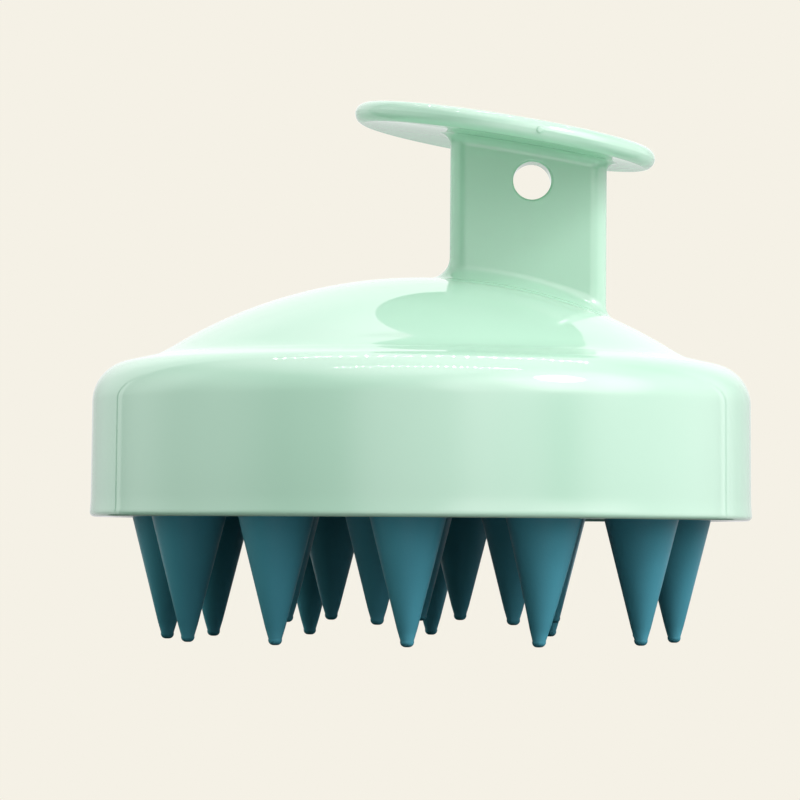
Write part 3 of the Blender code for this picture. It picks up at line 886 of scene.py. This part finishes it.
# %% Dark card
CARD_RADIUS = 60.0 * MM
CARD_CORNERS = 36
card_points = [Vector(direction(360 * i / CARD_CORNERS, 0.0)) * CARD_RADIUS for i in range(CARD_CORNERS)]
dark_card = mesh_object("dark_card", card_points, [tuple(range(CARD_CORNERS))])
dark_card.location.z = floor.location.z
card_black, tree, shader = new_material("dark_card_paper")
shader.inputs["Base Color"].default_value = linear("#101010")
shader.inputs["Roughness"].default_value = 0.9
dark_card.data.materials.append(card_black)
dark_card.visible_camera = False
print("card", round(2000 * CARD_RADIUS), "mm across")

# %% [markdown]
# Two rows of small lamps hang over the table, one behind the brush and one in front of it. They light
# nothing, but the gloss shows each of them as a bright dot. Every third lamp hangs a little out of line,
# as real ones do. A lamp is one glowing quad, so a row is one mesh of separate quads.

# %% Lamp rows
LAMP_PITCH = 17.0 * MM
LAMP_WIDTH = 3.0 * MM
LAMP_DEPTH = 10.0 * MM
LAMP_COUNT = 27
LAMP_STRENGTH = 150.0
LAMP_ROWS = ((212.0 * MM, 530.0 * MM), (-171.0 * MM, 564.0 * MM))   # y and z
ROW_MIDDLE_X = 20.0 * MM
OUT_OF_LINE = 2.0 * MM


def emitter(name, quads, strength):
    """A staged mesh of separate quads with a plain glow, seen only in reflections."""
    ob = mesh_object(name, [corner for quad in quads for corner in quad],
                     [tuple(range(4 * i, 4 * i + 4)) for i in range(len(quads))])
    material, tree, shader = new_material(name + "_glow")
    tree.nodes.remove(shader)
    glow = add_node(tree, "Emission", {"Color": linear("#FFFFFF"), "Strength": strength})
    tree.links.new(glow.outputs["Emission"], tree.nodes["Material Output"].inputs["Surface"])
    ob.data.materials.append(material)
    ob.visible_camera = False
    ob.visible_diffuse = False
    ob.visible_shadow = False


lamps = []
for y, z in LAMP_ROWS:
    for i in range(LAMP_COUNT):
        x = (i - (LAMP_COUNT - 1) / 2) * LAMP_PITCH + ROW_MIDDLE_X
        y_here = y + (OUT_OF_LINE if i % 3 == 1 else 0.0)
        lamps.append([(x + a * LAMP_WIDTH / 2, y_here + b * LAMP_DEPTH / 2, z) for a, b in corners])
emitter("lamp_rows", lamps, LAMP_STRENGTH)
print(len(lamps), "lamps")

# %% [markdown]
# The room's backdrop ends in a thin dark edge at each side, which the skirt shows as a fine upright line.
# Each edge is an upright quad far behind the brush that doesn't glow at all.

# %% Backdrop edges
EDGE_AZIMUTHS = (128.5, 231.5)
EDGE_WIDTH = 0.9    # degrees
EDGE_DISTANCE = 0.9
EDGE_BOTTOM, EDGE_TOP = -0.3, 0.5
edges = []
for azimuth in EDGE_AZIMUTHS:
    near = Vector(direction(azimuth - EDGE_WIDTH / 2, 0.0)) * EDGE_DISTANCE
    far = Vector(direction(azimuth + EDGE_WIDTH / 2, 0.0)) * EDGE_DISTANCE
    edges.append([(near.x, near.y, EDGE_BOTTOM), (far.x, far.y, EDGE_BOTTOM),
                  (far.x, far.y, EDGE_TOP), (near.x, near.y, EDGE_TOP)])
emitter("backdrop_edges", edges, 0.0)
print(len(edges), "backdrop edges")

# %% [markdown]
# ## Camera
# A long lens from just above the table keeps the round body nearly flat to the eye, with the dome's
# front showing over the shoulder. The camera rolls by less than half a degree, as a hand-held one does.

# %% Camera
CAMERA_PLACE = Vector((0.0, -485.0 * MM, 12.15 * MM))
CAMERA_AIM = Vector((-2.61 * MM, 0.0, 29.12 * MM))
CAMERA_ROLL = 0.0072
LENS_LENGTH = 180.05
lens = bpy.data.cameras.new("camera")
lens.lens = LENS_LENGTH
lens.sensor_width = 36.0
lens.clip_start = 0.01
lens.clip_end = 100.0
camera = bpy.data.objects.new("camera", lens)
bpy.context.scene.collection.objects.link(camera)
camera.location = CAMERA_PLACE
sight = CAMERA_AIM - CAMERA_PLACE
camera.rotation_euler = sight.to_track_quat("-Z", "Y").to_euler()
camera.rotation_euler.rotate_axis("Z", CAMERA_ROLL)
bpy.context.scene.camera = camera
bpy.context.scene.view_settings.view_transform = "Standard"
print("camera looks", [round(c, 3) for c in sight.normalized()])
